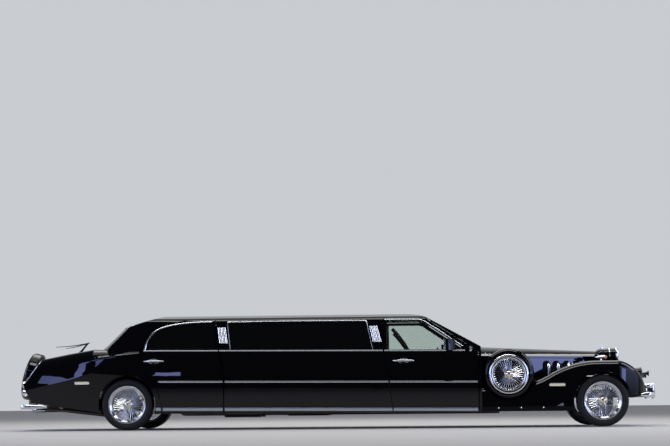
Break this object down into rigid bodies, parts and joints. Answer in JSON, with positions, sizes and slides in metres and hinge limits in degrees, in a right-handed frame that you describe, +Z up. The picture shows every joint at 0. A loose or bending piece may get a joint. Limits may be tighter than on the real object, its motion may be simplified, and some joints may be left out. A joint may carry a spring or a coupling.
{
  "type": "stretch limousine",
  "caption": "Stretch limousine with long bonnet, separate wings, side-mounted spare wheels, wire wheels and a leaning spare-wheel cover at the tail.",
  "frame": {"origin": "centre of the car's length and width, on the ground under the tyres", "axes": "+X to the front of the car, +Y to its left side, +Z up"},
  "size_m": [8.4946, 2.264, 1.5149],
  "materials": {
    "black_paint": "deep gloss black",
    "chrome": "polished chrome",
    "tinted_glass": "near-opaque black tint",
    "clear_glass": "pale green tint",
    "tyre_rubber": "black rubber",
    "chassis_black": "satin black",
    "cabin_leather": "black leather",
    "cabin_plastic": "dark grained plastic",
    "lamp_plastic": "red lamp plastic",
    "engine_iron": "painted iron"
  },
  "bodies": {
    "body": {"bonnet_sides": "black_paint", "chassis": "chassis_black", "cowl": "black_paint", "dashboard": "cabin_plastic", "driving_lamps": "chrome", "engine": "engine_iron", "exhaust_pipes": "chrome", "exhaust_system": "chrome", "fixed_glass": "tinted_glass", "floor": "chassis_black", "front_beam": "chassis_black", "front_bumper": "chrome", "front_wing_left": "black_paint", "front_wing_right": "black_paint", "headlamp_lenses": "clear_glass", "headlamps": "black_paint", "indicators": "chrome", "quarter_left": "black_paint", "quarter_right": "black_paint", "radiator_shell": "chrome", "rear_axle": "chassis_black", "rear_bumper": "chrome", "rear_panel": "black_paint", "roof_and_pillars": "black_paint", "seats": "cabin_leather", "side_spare_faces": "chrome", "side_spares": "black_paint", "steering_wheel": "cabin_plastic", "stretch_panels": "black_paint", "tail_lamps": "lamp_plastic", "tail_spare_cover": "black_paint", "windscreen": "clear_glass"},
    "boot_lid": {"antenna": "black_paint", "boot_lid": "black_paint"},
    "bonnet": {"bonnet": "black_paint"},
    "front_door_left": {"door_mirror_left": "black_paint", "front_door_glass_left": "clear_glass", "front_door_handle_left": "chrome", "front_door_left": "black_paint"},
    "front_door_right": {"door_mirror_right": "black_paint", "front_door_glass_right": "clear_glass", "front_door_handle_right": "chrome", "front_door_right": "black_paint"},
    "steering_left": {"knuckle_left": "chassis_black"},
    "steering_right": {"knuckle_right": "chassis_black"},
    "rear_door_left": {"rear_door_glass_left": "tinted_glass", "rear_door_handle_left": "chrome", "rear_door_left": "black_paint"},
    "rear_door_right": {"rear_door_glass_right": "tinted_glass", "rear_door_handle_right": "chrome", "rear_door_right": "black_paint"},
    "wheel_front_left": {"tyre_front_left": "tyre_rubber", "wheel_front_left": "chrome"},
    "wheel_front_right": {"tyre_front_right": "tyre_rubber", "wheel_front_right": "chrome"},
    "wheel_rear_left": {"tyre_rear_left": "tyre_rubber", "wheel_rear_left": "chrome"},
    "wheel_rear_right": {"tyre_rear_right": "tyre_rubber", "wheel_rear_right": "chrome"}
  },
  "joints": [
    {"name": "steer_left", "type": "hinge", "parent": "body", "child": "steering_left", "pos_m": [3.497, 0.69, 0.3345], "axis": [0, 0, 1], "range_deg": [-30, 30]},
    {"name": "spin_front_left", "type": "hinge", "parent": "steering_left", "child": "wheel_front_left", "pos_m": [3.497, 0.82, 0.3345], "axis": [0, 1, 0], "continuous": true},
    {"name": "spin_rear_left", "type": "hinge", "parent": "body", "child": "wheel_rear_left", "pos_m": [-2.653, 0.82, 0.3345], "axis": [0, 1, 0], "continuous": true},
    {"name": "front_door_left_hinge", "type": "hinge", "parent": "body", "child": "front_door_left", "pos_m": [1.885, 0.952, 0.56], "axis": [0, 0, -1], "range_deg": [0, 65]},
    {"name": "rear_door_left_hinge", "type": "hinge", "parent": "body", "child": "rear_door_left", "pos_m": [-1.412, 0.952, 0.56], "axis": [0, 0, -1], "range_deg": [0, 65]},
    {"name": "steer_right", "type": "hinge", "parent": "body", "child": "steering_right", "pos_m": [3.497, -0.69, 0.3345], "axis": [0, 0, 1], "range_deg": [-30, 30]},
    {"name": "spin_front_right", "type": "hinge", "parent": "steering_right", "child": "wheel_front_right", "pos_m": [3.497, -0.82, 0.3345], "axis": [0, 1, 0], "continuous": true},
    {"name": "spin_rear_right", "type": "hinge", "parent": "body", "child": "wheel_rear_right", "pos_m": [-2.653, -0.82, 0.3345], "axis": [0, 1, 0], "continuous": true},
    {"name": "front_door_right_hinge", "type": "hinge", "parent": "body", "child": "front_door_right", "pos_m": [1.885, -0.952, 0.56], "axis": [0, 0, 1], "range_deg": [0, 65]},
    {"name": "rear_door_right_hinge", "type": "hinge", "parent": "body", "child": "rear_door_right", "pos_m": [-1.412, -0.952, 0.56], "axis": [0, 0, 1], "range_deg": [0, 65]},
    {"name": "bonnet_hinge", "type": "hinge", "parent": "body", "child": "bonnet", "pos_m": [1.956, 0, 1.066], "axis": [0, -1, 0], "range_deg": [0, 55]},
    {"name": "boot_lid_hinge", "type": "hinge", "parent": "body", "child": "boot_lid", "pos_m": [-3.137, 0, 1.062], "axis": [0, 1, 0], "range_deg": [0, 60]}
  ],
  "couplings": [
    {"joint": "steer_right", "follows": "steer_left", "ratio": 1}
  ]
}
